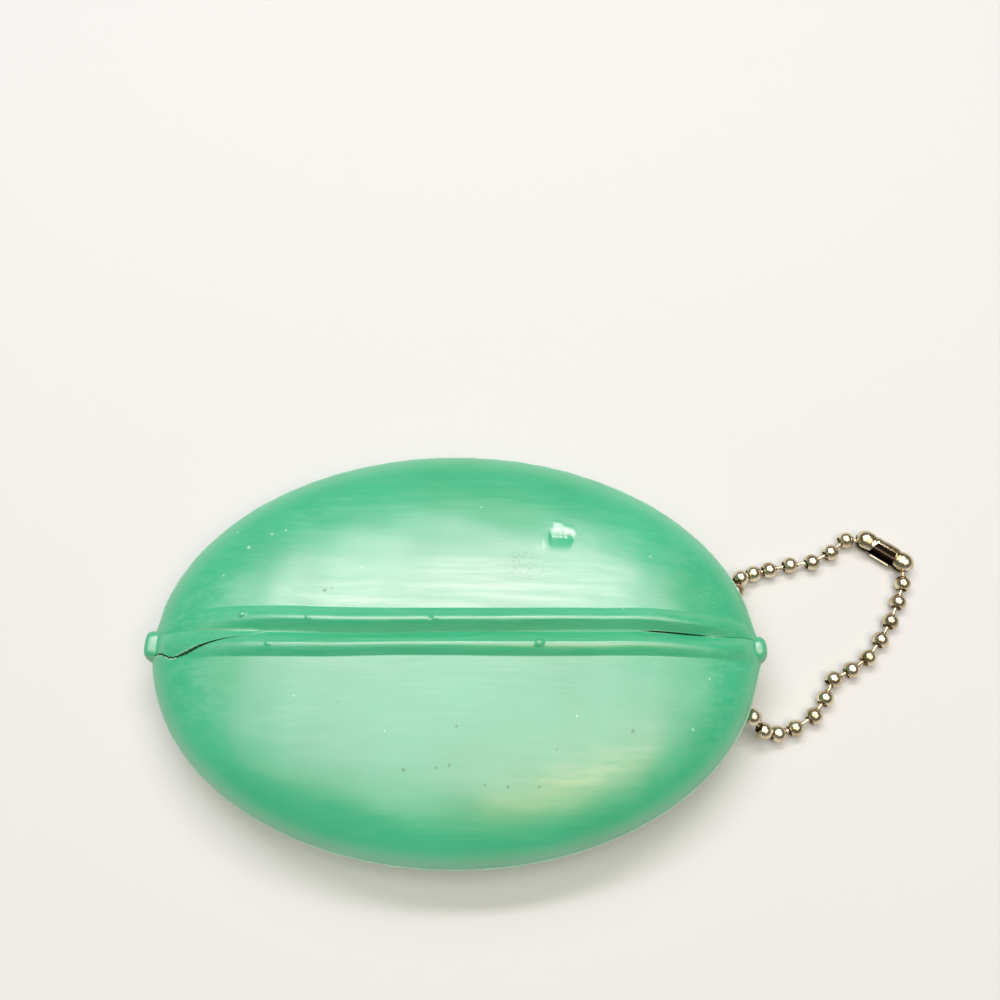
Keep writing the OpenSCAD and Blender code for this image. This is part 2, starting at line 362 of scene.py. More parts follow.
def bumps(x, y):
    """The round pips of trapped air on the lips, a nick in the far crest and the scar on the far
    dome, a chip whose floor sinks away from the near side up to a torn edge."""
    high = np.zeros_like(x)
    for px, py, radius, height in PIPS:
        q = np.hypot(x - px, y - py) / radius
        high = high + height * np.sqrt(np.clip(1 - q * q, 0, None))
    nick = np.exp(-(((x - NICK[0]) / 0.16) ** 2) - ((y - NICK[1]) / 0.7) ** 2)
    u, v = x - SCAR[0], y - SCAR[1]
    torn = torn_patch(u, v) * (1 + 0.35 * np.sin(5.1 * u + 1.3) + 0.25 * np.sin(9.7 * u + 4 * v))
    scar = SCAR_EDGE * torn - SCAR_DEPTH * chip_floor(u, v)
    welt = WELT_HEIGHT * np.exp(-(((u - WELT[0]) / 0.2) ** 2) - ((v - WELT[1]) / 0.8) ** 2)
    return high - NICK_DEPTH * nick + scar + welt


FLASH_HEIGHT = 0.22
FLASH_WIDTH = 0.17
FLASH_ABOVE_RIM = 0.6
FLASH_TILT = 0.8


def flash(x, y, above_rim):
    """The thin uneven ridge that the mould's joint leaves. It runs a little above the rim, more so
    on the far side, and its height follows three waves along the rim."""
    away = above_rim - FLASH_ABOVE_RIM - FLASH_TILT * y / HALF_WIDTH
    uneven = 0.8 + 0.15 * np.sin(1.7 * x) + 0.1 * np.sin(4.1 * x + 1) + 0.06 * np.sin(9.3 * x)
    return np.clip(uneven, 0.5, 1) * FLASH_HEIGHT * hump(away, FLASH_WIDTH)


def skin(x, y, angle, inset):
    """The height of the skin at x, y: on the dome above or below the rim, cut by the flat that it
    rests on. The inside lies the wall's inset within the outside."""
    rho = np.hypot(x / (HALF_LENGTH - inset), y / (HALF_WIDTH - inset))
    lift = share(np.minimum(rho, 1))
    up = RIM_HEIGHT + (DOME_UP - inset) * lift
    down = np.maximum(RIM_HEIGHT - (DOME_DOWN - inset) * lift, inset)
    return np.where(angle > 0, up, down)


def strip_edge_at(width):
    """Half the width of the back strip where the section is width wide: it narrows with the
    ends."""
    return np.minimum(STRIP_EDGE, 0.6 * width)


def section_y(alpha, angle, inset):
    """How far out the skin is at section angle, -90 being the back's middle and 0 the rim, on the
    section at alpha."""
    lift = share(np.sin(alpha)) * np.abs(np.sin(angle))
    reach = share(lift)
    return (HALF_WIDTH - inset) * np.sqrt(np.clip(reach**2 - np.sin(alpha) ** 2, 0, None))


def angle_of(alpha, y, inset):
    """The section angle at which the skin is y out: the inverse of section_y."""
    rho = np.minimum(np.hypot(np.sin(alpha), y / (HALF_WIDTH - inset)), 1)
    whole = np.maximum(share(np.sin(alpha)), 1e-9)
    return np.arcsin(np.clip(share(rho) / whole, 0, 1))


# The cut and the lip zone keep within these shares of a section's half width, so that the sections
# stay sound where they narrow towards the tips.
MOST_CUT = 0.75
LEAST_LIP = 0.02
MOST_LIP = 0.93
LIP_REACH = 4.6
LIP_FADES_UP = (0.1, 1.2)
LIP_FADES_AT_TIP = (0.05, 2.5)
EDGE_ROUND = 0.05
FLASH_FADES_AT_TIP = (0, 3)
TIP_LEFT = 0.003
# Section angles that stand for a point on the lips, and for one far above the flash line.
ON_LIP = 0.5
NEAR_CROWN = 1.5
# How far each end flares into its nub, round which place across, and over which reach.
FLARE = {1: 0.75, -1: 0.3}
FLARE_MIDDLE = -0.5
FLARE_ACROSS = 2.7
FLARE_UP = 2.6
FLARE_STARTS = (36, 40.2)


def bunched(s, mid):
    """Steps from 0 to 1 drawn towards mid, where the rim is, so that the flash line has the closest
    ones: mid + (s - mid)(0.35 + 0.65 |s - mid| / the larger side)."""
    return mid + (s - mid) * (0.35 + 0.65 * np.abs(s - mid) / np.maximum(mid, 1 - mid))


def edge_round(width):
    """The radius of the lip's edge at the slit, smaller where the section is narrow."""
    return np.minimum(EDGE_ROUND, 0.03 * width + 0.001)


def outside(side, end, alpha, cut):
    """The skin of one quarter from the back strip round the rim and over its lip, to just short of
    the cut. The lips, bumps and swell are added to the dome's height, the flash line stands out
    along the rim's own normal, and the ends flare a little into the nubs."""
    x = end * HALF_LENGTH * np.sin(alpha)
    width = HALF_WIDTH * np.cos(alpha)
    zone = np.minimum(side * slit_line(x) + LIP_REACH, MOST_LIP * width)
    zone = np.maximum(zone, side * cut + LEAST_LIP * width)
    first = -angle_of(alpha, strip_edge_at(width), 0)
    last = angle_of(alpha, zone, 0)
    mid = -first / (last - first)
    low, high = bunched(0, mid), bunched(1, mid)
    s = np.linspace(0, 1, SKIN_STEPS + 1)[None, :-1]
    angle = first + (last - first) * (bunched(s, mid) - low) / (high - low)
    lip = np.linspace(0, 1, LIP_STEPS + 1)[None, :]
    y_lip = side * zone + (cut + side * edge_round(width) - side * zone) * lip
    y = np.concatenate([side * section_y(alpha, angle, 0), y_lip], 1)
    angle = np.concatenate([angle, np.full_like(y_lip, ON_LIP)], 1)
    x = np.broadcast_to(x, y.shape)
    z = skin(x, y, angle, 0)
    height = DOME_UP * share(np.sin(alpha))
    on_top = (angle > 0) * fade(height * np.sin(np.maximum(angle, 0)), *LIP_FADES_UP)
    tip_fade = fade(HALF_LENGTH - np.abs(x), *LIP_FADES_AT_TIP)
    z = z + on_top * (lip_height(x, y) * tip_fade + bumps(x, y) + swell(x, y))
    ridge = flash(x, y, height * np.sin(np.where(angle == ON_LIP, NEAR_CROWN, angle)))
    out_x, out_y = x / HALF_LENGTH**2, y / HALF_WIDTH**2
    norm = np.hypot(out_x, out_y) + 1e-9
    near_nub = -(((y - FLARE_MIDDLE) / FLARE_ACROSS) ** 2) - ((z - RIM_HEIGHT) / FLARE_UP) ** 2
    flare = FLARE[end] * np.exp(near_nub) * fade(np.abs(x), *FLARE_STARTS)
    x = x + ridge * out_x / norm * fade(width, *FLASH_FADES_AT_TIP)
    y = y + ridge * out_y / norm * fade(width, *FLASH_FADES_AT_TIP)
    return np.stack([x + end * flare, y, z], -1), ridge, angle > 0


def inside(side, end, alpha, cut):
    """The inside of one quarter, from the cut back to the strip: the same section angles, drawn in
    by the wall. Where the rip crosses the middle line, its edge is followed there."""
    width = (HALF_WIDTH - WALL) * np.cos(alpha)
    x = end * (HALF_LENGTH - WALL) * np.sin(alpha)
    cut = np.clip(cut, -MOST_CUT * width, MOST_CUT * width)
    last = -angle_of(alpha, strip_edge_at(width), WALL)
    first = angle_of(alpha, np.abs(cut), WALL)
    s = np.linspace(0, 1, INNER_STEPS + 1)[None, :]
    angle = first + (last - first) * s
    y = side * section_y(alpha, angle, WALL)
    y = np.where(side * cut < 0, y + (cut - y[:, :1]) * (1 - s) ** 8, y)
    x = np.broadcast_to(x, y.shape)
    return np.stack([x, y, skin(x, y, angle, WALL)], -1)


def slit_face(side, cut, width, top, bottom):
    """The slit's face: a quarter round at its top edge, then straight down to the inside."""
    turn = np.linspace(0, np.pi / 2, FACE_STEPS)[None, 1:]
    y = cut + side * edge_round(width) * (1 - np.sin(turn))
    z = top[:, :, 2] - edge_round(width) * (1 - np.cos(turn))
    curve = np.stack([np.broadcast_to(top[:, :, 0], y.shape), y, z], -1)
    down = np.linspace(0, 1, FACE_STEPS)[None, 1:-1, None]
    return curve, curve[:, -1:] + (bottom - curve[:, -1:]) * down


def close_grid(points, marks, caps):
    """Joins a grid of points (stations, ring, 3) that closes round its ring into faces, merges
    points that coincide and adds the caps."""
    stations, ring = points.shape[:2]
    flat = points.reshape(-1, 3)
    keys = np.round(flat / 1e-4).astype(np.int64)
    _, first, back = np.unique(keys, axis=0, return_index=True, return_inverse=True)
    back = back.reshape(-1)
    i, j = np.meshgrid(np.arange(stations - 1), np.arange(ring), indexing="ij")
    a = i * ring + j
    b = i * ring + (j + 1) % ring
    quads = back[np.stack([a, b, b + ring, a + ring], -1).reshape(-1, 4)]
    faces = [list(dict.fromkeys(q)) for q in quads.tolist()]
    faces += [[int(back[k]) for k in tri] for tri in caps]
    faces = [f for f in faces if len(set(f)) > 2]
    return flat[first], marks.reshape(-1, marks.shape[-1])[first], faces


def quarter(side, end):
    """One quarter of the moulding as a closed ring swept from the middle to the end. Each section
    starts at the back strip, goes round the rim and over its lip, down the slit face, and back
    along the inside."""
    alpha = np.linspace(0, np.pi / 2 - TIP_LEFT, STATIONS + 1)[:, None]
    x = end * HALF_LENGTH * np.sin(alpha)
    width = HALF_WIDTH * np.cos(alpha)
    cut = np.clip(rip_line(x) + side * gape(x), -MOST_CUT * width, MOST_CUT * width)
    outer, ridge, upper = outside(side, end, alpha, cut)
    inner = inside(side, end, alpha, cut)
    curve, wall_face = slit_face(side, cut, width, outer[:, -1:], inner[:, :1])
    points = np.concatenate([outer, curve, wall_face, inner], 1)
    marks = marks_on(points, side, curve.shape[1], ridge, upper)
    cap = tessellate_polygon([[Vector((y, z, 0)) for y, z in points[0, :, 1:].tolist()]])
    return close_grid(points, marks, cap)


# How pale the lips' edges are painted along the slit: a painted highlight for the light that the
# edges catch, with some whitening where the slit was strained.
EDGE_WEAR_AND_GLINT = [
    (-41, 0), (-36, 0), (-31, 0.5), (-20, 0.7), (-16, 0), (7, 0), (12, 0.45), (24, 0.6),
    (27, 0.45), (33, 0.4), (33.8, 1), (34.6, 0.8), (36, 0.1), (41, 0),
]
SCUFF = (9.3, 9.0)
FLASH_PALE = 0.6
# Painted shade on the slit faces and the inside: a little everywhere, and much more where the lips
# gape apart.
INSIDE_SHADE = 0.1
RIP_SHADE = 0.8


def marks_on(points, side, curve_count, ridge, upper):
    """Three amounts per point, each worked out from where the point is: pale rubbing, painted shade
    and scuffing. The pale amount also paints a highlight along the lips' edges at the slit, mixed
    with whitening where the slit was strained, and is rough and pale where the rip is fresh. The
    painted shade darkens the slit faces and the inside, most where the lips gape."""
    x, y = points[..., 0], points[..., 1]
    pale, painted_shade, scuff = np.zeros_like(x), np.zeros_like(x), np.zeros_like(x)
    outer_count = ridge.shape[1]
    top = slice(0, outer_count)
    half_curve = outer_count + curve_count // 2
    pale[:, top] = FLASH_PALE * fade(ridge, 0.02, 0.1)
    u, v = x[:, top] - SCAR[0], y[:, top] - SCAR[1]
    welt = 0.4 * np.exp(-(((u - WELT[0]) / 0.18) ** 2) - ((v - WELT[1]) / 0.8) ** 2)
    welt = welt + 0.3 * np.exp(-((u + 3) ** 2 + (v + 1.7) ** 2) / 0.2)
    mottle = 0.85 + 0.15 * np.sin(6 * u + 2 * v) * np.sin(5 * v + 1)
    pale[:, top] += upper * (mottle * torn_patch(u, v) + welt)
    edge = np.abs(y - rip_line(x) - side * gape(x))
    # The lips' edges get a painted highlight, mixed with whitening where the slit was strained and
    # with the pale of the fresh rip.
    edge_wear_and_glint = through(x, EDGE_WEAR_AND_GLINT)
    if side < 0:
        fresh, strength = fade(-x, 35.8, 36.6), 1
    else:
        fresh, strength = 0.6 * fade(-x, 32.8, 34.2) * (1 - fade(-x, 36, 37)), 0.4
    ragged = 0.75 + 0.25 * np.sin(11 * x) * np.sin(4.7 * x + 1)
    wear_and_glint = np.clip((edge_wear_and_glint * strength * (1 - fade(-x, 24, 27)) + fresh) * ragged, 0, 1)
    pale[:, top] += (hump(edge, 0.13) * wear_and_glint)[:, top] * upper
    pale[:, outer_count:half_curve] += wear_and_glint[:, :1]
    # Along the old slit line on the far quarter, where the rip has left it: a painted highlight
    # with some whitening.
    old_slit_wear_and_glint = (side > 0) * fade(-x, 24, 27) * edge_wear_and_glint
    pale[:, top] += (old_slit_wear_and_glint * hump(y - slit_line(x), 0.12))[:, top] * upper
    # Painted shade: the lower slit faces and the inside are darkened, deepest in the rip and the
    # slack stretch.
    painted_shade[:, half_curve:] = INSIDE_SHADE
    painted_shade[:, half_curve:-INNER_STEPS] += RIP_SHADE * fade(gape(x[:, :1]), 0.03, 0.09)
    across = -(((x[:, top] - SCUFF[0]) / 2.9) ** 4) - ((y[:, top] - SCUFF[1]) / 2.6) ** 4
    scuff[:, top] = upper * np.exp(across)
    return np.stack([pale, painted_shade, scuff], -1)


def put_mesh(name, points_mm, faces, material, marks=None):
    """A new object with its mesh in metres, smooth faces and its marks as a colour attribute."""
    mesh = bpy.data.meshes.new(name)
    mesh.from_pydata((points_mm * MM).tolist(), [], faces)
    mesh.validate()
    mesh.shade_smooth()
    if marks is not None:
        paint = mesh.color_attributes.new("marks", "FLOAT_COLOR", "POINT")
        rgba = np.ones((len(points_mm), 4))
        rgba[:, :3] = np.clip(marks, 0, 1)
        paint.data.foreach_set("color", rgba.reshape(-1))
    mesh.materials.append(material)
    piece = bpy.data.objects.new(name, mesh)
    bpy.context.collection.objects.link(piece)
    return piece


def face_outwards(piece):
    """Turns every face outwards, then keeps edges sharper than 50 degrees sharp."""
    bpy.context.view_layer.objects.active = piece
    for other in bpy.context.selected_objects:
        other.select_set(False)
    piece.select_set(True)
    bpy.ops.object.mode_set(mode="EDIT")
    bpy.ops.mesh.select_all(action="SELECT")
    bpy.ops.mesh.normals_make_consistent(inside=False)
    bpy.ops.object.mode_set(mode="OBJECT")
    piece.data.set_sharp_from_angle(angle=np.radians(50))


VINYL_GREEN = linear(50, 188, 134)
VINYL_DEEP = linear(36, 178, 122)
VINYL_PALE = linear(210, 244, 226)
# A deep green for grime and scuffs, also used as painted shade in the slit and inside.
DIRT_AND_SHADE_GREEN = linear(8, 104, 62)
VINYL_IOR = 1.8
SHEEN_TINT = (1, 0.66, 0.8, 1)
# Each pale speck and each dark smudge: its place along and across, and its radius.
SPECKS = [
    (-28.3, 12.2, 0.26), (-23.4, 14.6, 0.2), (-25.3, 14.1, 0.18), (15.7, -10.7, 0.16),
    (30.5, -11.7, 0.18), (-30.5, 15.0, 0.15), (22.0, 3.4, 0.14), (-31.2, 8.1, 0.13),
    (-12.4, 8.6, 0.12), (3.2, 17.9, 0.13), (26.1, 11.3, 0.15), (-19.8, -8.6, 0.13),
    (-8.1, -12.9, 0.12), (33.0, -5.2, 0.13),
]
SMUDGES = [
    (-17.0, 5.3, 0.28), (-16.1, 5.6, 0.16), (-5.6, -17.5, 0.24), (-1.6, -17.2, 0.2),
    (0.0, -16.9, 0.22), (0.8, -12.3, 0.2), (4.4, -19.1, 0.16), (7.2, -19.3, 0.2),
    (11.0, -19.2, 0.16), (22.7, -12.3, 0.26), (13.2, -14.8, 0.14), (-14.2, -9.4, 0.13),
]


def mix_colour(tree, amount, first, second):
    """A Mix node between two colours or links, by an amount that is a link or a number."""
    node = tree.nodes.new("ShaderNodeMix")
    node.data_type = "RGBA"
    for name, value in (("Factor", amount), ("A", first), ("B", second)):
        socket = node.inputs[name]
        if isinstance(value, (tuple, list)):
            socket.default_value = (*value, 1)
        elif isinstance(value, (int, float)):
            socket.default_value = value
        else:
            tree.links.new(value, socket)
    return node.outputs["Result"]


def noise(tree, where, scale, detail, stretch=(1, 1, 1), roughness=0.5):
    """A Noise texture on Object coordinates, with its pattern stretched along the axes."""
    mapping = tree.nodes.new("ShaderNodeMapping")
    mapping.inputs["Scale"].default_value = stretch
    tree.links.new(where, mapping.inputs["Vector"])
    node = tree.nodes.new("ShaderNodeTexNoise")
    node.inputs["Scale"].default_value = scale
    node.inputs["Detail"].default_value = detail
    node.inputs["Roughness"].default_value = roughness
    tree.links.new(mapping.outputs[0], node.inputs["Vector"])
    return node.outputs["Fac"]


def spots(tree, where, places):
    """How much of any spot is at a point of the upper skin: 1 in the middle of each spot, 0 a fifth
    beyond its radius."""
    flat = tree.nodes.new("ShaderNodeVectorMath")
    flat.operation = "MULTIPLY"
    flat.inputs[1].default_value = (1, 1, 0)
    tree.links.new(where, flat.inputs[0])
    split = tree.nodes.new("ShaderNodeSeparateXYZ")
    tree.links.new(where, split.inputs[0])
    total = 0.0
    for x, y, radius in places:
        reach = tree.nodes.new("ShaderNodeVectorMath")
        reach.operation = "DISTANCE"
        reach.inputs[1].default_value = (x * MM, y * MM, 0)
        tree.links.new(flat.outputs[0], reach.inputs[0])
        spot = remap(tree, reach.outputs["Value"], radius * 1.2 * MM, radius * 0.6 * MM)
        total = maths(tree, "ADD", spot, total)
    upper = remap(tree, split.outputs["Z"], RIM_HEIGHT * MM, (RIM_HEIGHT + 0.5) * MM)
    return maths(tree, "MULTIPLY", total, upper)


def read_marks(tree):
    """The painted marks of a piece, as a node with red, green and blue outputs."""
    painted = tree.nodes.new("ShaderNodeAttribute")
    painted.attribute_name = "marks"
    split = tree.nodes.new("ShaderNodeSeparateColor")
    tree.links.new(painted.outputs["Color"], split.inputs[0])
    return split


def satin_vinyl():
    """Soft green vinyl with a satin skin: fine streaks along the slit, painted pale beside the lips
    as streaks of sheen, slow changes of colour, pale rubbing with painted highlights along the
    slit's edges, grime and scuffs, and painted shade in the slit and inside."""
    material = bpy.data.materials.new("satin_vinyl")
    material.use_nodes = True
    tree = material.node_tree
    shader = tree.nodes["Principled BSDF"]
    where = tree.nodes.new("ShaderNodeTexCoord").outputs["Object"]
    marks = read_marks(tree)
    pale, painted_shade, scuffed = (marks.outputs[name] for name in ("Red", "Green", "Blue"))
    slow = noise(tree, where, 60, 3)
    streaks = noise(tree, where, 1100, 4, (0.07, 1, 1), 0.55)
    hairlines = noise(tree, where, 3400, 2, (0.05, 1, 1), 0.5)
    grain = noise(tree, where, 2600, 3)
    speck = noise(tree, where, 3600, 2)
    colour = mix_colour(tree, remap(tree, slow, 0.35, 0.65), VINYL_GREEN, VINYL_DEEP)

    # Scuffed grime and smudges, together with the painted shade that the marks carry in the slit
    # and inside.
    dirt_and_shade = maths(tree, "MULTIPLY", remap(tree, speck, 0.54, 0.7), scuffed)
    dirt_and_shade = maths(tree, "MAXIMUM", maths(tree, "MULTIPLY", dirt_and_shade, 0.65), painted_shade)
    smudges = maths(tree, "MULTIPLY", spots(tree, where, SMUDGES), 0.6)
    dirt_and_shade = maths(tree, "MAXIMUM", dirt_and_shade, smudges)
    colour = mix_colour(tree, dirt_and_shade, colour, DIRT_AND_SHADE_GREEN)

    wear_and_sheen = maths(tree, "MULTIPLY", pale, remap(tree, grain, 0.3, 0.6, 0.6, 1.0))
    specks = maths(tree, "MULTIPLY", spots(tree, where, SPECKS), 0.55)
    wear_and_sheen = maths(tree, "MAXIMUM", wear_and_sheen, specks)
    # Pale streaks, strongest within a few millimetres of the slit, are painted sheen: they stand
    # for streaks in the highlight beside the lips.
    place = tree.nodes.new("ShaderNodeSeparateXYZ")
    tree.links.new(where, place.inputs[0])
    from_slit = maths(tree, "ABSOLUTE", place.outputs["Y"], 0)
    near_lips = remap(tree, from_slit, 0.008, 0.02, 1.0, 0.15)
    fine_hairlines = remap(tree, hairlines, 0.5, 0.72, 0.0, 0.06)
    fine_streaks = remap(tree, streaks, 0.5, 0.75, 0.0, 0.03)
    painted_sheen_streaks = maths(tree, "ADD", fine_hairlines, fine_streaks)
    wear_and_sheen = maths(tree, "MAXIMUM", wear_and_sheen, maths(tree, "MULTIPLY", painted_sheen_streaks, near_lips))
    colour = mix_colour(tree, wear_and_sheen, colour, VINYL_PALE)
    tree.links.new(colour, shader.inputs["Base Color"])

    dull_streaks = remap(tree, streaks, 0.3, 0.7, 0.285, 0.4)
    dull_hairlines = remap(tree, hairlines, 0.52, 0.75, 0.0, 0.08)
    rough = maths(tree, "ADD", dull_streaks, dull_hairlines)
    rough = maths(tree, "ADD", rough, maths(tree, "MULTIPLY", pale, 0.15))
    rough = maths(tree, "ADD", rough, maths(tree, "MULTIPLY", dirt_and_shade, 0.2))
    tree.links.new(rough, shader.inputs["Roughness"])
    shader.inputs["Specular IOR Level"].default_value = 1
    shader.inputs["IOR"].default_value = VINYL_IOR
    shader.inputs["Specular Tint"].default_value = SHEEN_TINT
    bump = tree.nodes.new("ShaderNodeBump")
    bump.inputs["Strength"].default_value = 0.09
    bump.inputs["Distance"].default_value = 0.00006
    tree.links.new(grain, bump.inputs["Height"])
    tree.links.new(bump.outputs[0], shader.inputs["Normal"])
    return material


SIDES = ((1, "far", "far_half", "far_side"), (-1, "near", "near_half", "near_side"))
ENDS = ((-1, "left"), (1, "right"))

vinyl = satin_vinyl()
for side, side_name, node, body in SIDES:
    for end, end_name in ENDS:
        points, marks, faces = quarter(side, end)
        piece = put_mesh(f"{side_name}_{end_name}_quarter", points, faces, vinyl, marks)
        face_outwards(piece)
        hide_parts(node)
        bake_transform(piece)


def back_strip():
    """The strip along the back between the two bending lines, as a closed ring of 2 mm wall swept
    from end to end."""
    alpha = np.linspace(-np.pi / 2, np.pi / 2, 2 * STATIONS // 3 + 1)[:, None]
    across = np.linspace(-1, 1, 13)[None, :]
    rows = []
    for inset, order in ((0, across), (WALL, across[:, ::-1])):
        width = (HALF_WIDTH - inset) * np.cos(alpha)
        y = order * strip_edge_at(width)
        x = np.broadcast_to((HALF_LENGTH - inset) * np.sin(alpha), y.shape)
        rows.append(np.stack([x, y, skin(x, y, np.full_like(y, -1.0), inset)], -1))
    return np.concatenate(rows, 1)


def vinyl_piece(name, grid):
    """A piece of the moulding without marks, from a grid that closes round its ring."""
    points, marks, faces = close_grid(grid, np.zeros(grid.shape), [])
    piece = put_mesh(name, points, faces, vinyl, marks)
    face_outwards(piece)
    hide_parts("back_strip")
    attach(piece, "back")


vinyl_piece("back_strip_skin", back_strip())

# The end nubs.
# A soft upright bar at each end of the slit, where the two lips run together. Both are moulded with
# the body: each has its place, its half sizes along, across and up, and how square it is.

NUBS = {
    "left_nub": ((-40.45, -0.5), (1.25, 2.0, 2.2), 3.2),
    "right_nub": ((40.6, 0.05), (1.3, 1.8, 2.1), 2.5),
}


def blunt(value, power):
    """A sine or cosine raised to a power with its sign kept, which squares a circle."""
    return np.sign(value) * np.abs(value) ** power


def rounded_bar(centre, half_sizes, squareness, steps):
    """A closed superellipsoid: each axis is its half size times the sine or cosine of two angles,
    raised to 2/squareness."""
    lift = np.linspace(-np.pi / 2, np.pi / 2, steps)[:, None]
    turn = np.linspace(0, 2 * np.pi, 2 * steps, endpoint=False)[None, :]
    power = 2 / squareness
    x = blunt(np.cos(lift), power) * blunt(np.cos(turn), power)
    y = blunt(np.cos(lift), power) * blunt(np.sin(turn), power)
    z = blunt(np.sin(lift), power) + 0 * turn
    return np.stack([x, y, z], -1) * half_sizes + centre


for name, (place, half_sizes, squareness) in NUBS.items():
    vinyl_piece(name, rounded_bar((*place, RIM_HEIGHT), half_sizes, squareness, 41))

# The eyelet.
# A flat lug below the right end, moulded with the body, with a hole that the chain runs through. A
# short web joins its ring to the underside.

EYELET = np.array([39, 0, 2.9])
EYELET_BORE = 1.45
EYELET_RING = 1.15
EYELET_THICK = 2.0
RING_BLUNT = 0.45
WEB_ABOVE = (0.7, 0, 3.3)
WEB_HALF_SIZES = (2.1, EYELET_THICK / 2, 1.75)
WEB_SQUARENESS = 4.5


def closed_round(grid):
    """A grid whose first station is repeated as its last."""
    return np.concatenate([grid, grid[:1]], 0)


def ring_round(centre, inner, width, thick, steps):
    """A flat ring round the Y axis: a rounded rectangle, width by thick, carried round a circle."""
    turn = np.linspace(0, 2 * np.pi, steps, endpoint=False)[:, None]
    around = np.linspace(0, 2 * np.pi, 24, endpoint=False)[None, :]
    across = blunt(np.cos(around), RING_BLUNT) * width / 2
    along = blunt(np.sin(around), RING_BLUNT) * thick / 2
    radius = inner + width / 2 + across
    ring = [radius * np.cos(turn), along + 0 * turn, radius * np.sin(turn)]
    return closed_round(np.stack(ring, -1) + centre)


vinyl_piece("eyelet_ring", ring_round(EYELET, EYELET_BORE, EYELET_RING, EYELET_THICK, 72))
vinyl_piece("eyelet_web", rounded_bar(EYELET + WEB_ABOVE, WEB_HALF_SIZES, WEB_SQUARENESS, 25))

# The ball chain.
# Hollow beads of thin nickel-plated steel, each rolled from strip round the heads of two wire
# links. The route gives the middle of each bead in order, and the numbers below count from 1.

BEAD_RADIUS = 1.19
BEAD_SHEET = 0.17
BEAD_HOLE = 0.72
LINK_HEAD = 0.8
LINK_HEAD_THICK = 0.2
LINK_HEAD_AT = 0.32
LINK_WIRE = 0.29
NICKEL = linear(234, 222, 194)
NICKEL_SHADE = linear(184, 162, 122)
ROUTE = np.array([
    [59.8, 18.9, 1.6], [57, 19.1, 1.2], [54.5, 17.1, 1.2], [51.6, 15.5, 1.2], [48.3, 15, 1.2],
    [45.2, 14.2, 1.2], [42.8, 13.6, 1.2], [40.7, 12.6, 2], [39.7, 10.3, 2.6], [39.1, 7.9, 2.9],
    [39, 5.3, 2.9], [39, 2.7, 2.9], [39, 0, 2.9], [39.1, -2.7, 2.9], [39.5, -5.5, 3.1],
    [40.3, -8, 3.5], [41.9, -9.6, 2.4], [44.1, -9.7, 1.2], [46.5, -8.9, 1.2], [49.3, -7.2, 1.2],
    [51.1, -4.7, 1.2], [52.6, -2, 1.2], [55.3, -0.6, 1.2], [57.9, 1.2, 1.2], [60, 3.8, 1.2],
    [61.8, 6.6, 1.2], [63.3, 9.5, 1.2], [64.4, 12.3, 1.2], [64.8, 15.4, 1.6],
])
CHAIN_BODIES = {
    "lug_bead": [13],
    "chain_near": [6, 7, 8, 9, 10, 11, 12, 14, 15, 16, 17, 18, 19],
    "chain_mid": [4, 5, 20, 21],
    "chain_far": [3, 22, 23, 24, 25],
    "chain_end": [1, 2, 26, 27, 28, 29],
}
LINK_GROUPS = {
    "chain_near": ("links_near", [6, 7, 8, 9, 10, 11, 12, 13, 14, 15, 16, 17, 18]),
    "chain_mid": ("links_mid", [4, 5, 19, 20]),
    "chain_far": ("links_far", [3, 21, 22, 23, 24]),
    "chain_end": ("links_end", [1, 2, 25, 26, 27, 28]),
}


def nickel_plate():
    """Bright nickel plate gone slightly yellow, duller in patches."""
    material = bpy.data.materials.new("nickel_plate")
    material.use_nodes = True
    tree = material.node_tree
    shader = tree.nodes["Principled BSDF"]
    where = tree.nodes.new("ShaderNodeTexCoord").outputs["Object"]
    patches = remap(tree, noise(tree, where, 420, 3), 0.4, 0.7)
    colour = mix_colour(tree, patches, NICKEL, NICKEL_SHADE)
    tree.links.new(colour, shader.inputs["Base Color"])
    rough = remap(tree, noise(tree, where, 3000, 2), 0.3, 0.7, 0.14, 0.3)
    tree.links.new(rough, shader.inputs["Roughness"])
    shader.inputs["Metallic"].default_value = 1
    return material


def revolve(profile, centre, direction, around):
    """A surface of revolution: profile is radius and distance along the direction from the
    centre."""
    direction = np.array(direction, float) / np.linalg.norm(direction)
    helper = np.array([0, 0, 1.0]) if abs(direction[2]) < 0.9 else np.array([1.0, 0, 0])
    first = np.cross(helper, direction)
    first /= np.linalg.norm(first)
    second = np.cross(direction, first)
    turn = np.linspace(0, 2 * np.pi, around, endpoint=False)[None, :, None]
    radius = profile[:, 0][:, None, None]
    along = profile[:, 1][:, None, None]
    circle = np.cos(turn) * first + np.sin(turn) * second
    return np.array(centre) + along * direction + radius * circle


def bead_profile():
    """Radius and distance along the axis round a bead's shell: outside, rolled edge of the hole,
    inside and back."""
    inner = BEAD_RADIUS - BEAD_SHEET
    reach = np.arccos(BEAD_HOLE / BEAD_RADIUS)
    turn_out = np.linspace(-reach, reach, 17)
    reach_in = np.arccos((BEAD_HOLE + 0.01) / inner)
    turn_in = np.linspace(reach_in, -reach_in, 9)
    out = np.stack([BEAD_RADIUS * np.cos(turn_out), BEAD_RADIUS * np.sin(turn_out)], -1)
    back = np.stack([inner * np.cos(turn_in), inner * np.sin(turn_in)], -1)
    lip = np.array([[BEAD_HOLE - 0.03, (out[-1, 1] + back[0, 1]) / 2]])
    return np.concatenate([out, lip, back, lip * [1, -1]])


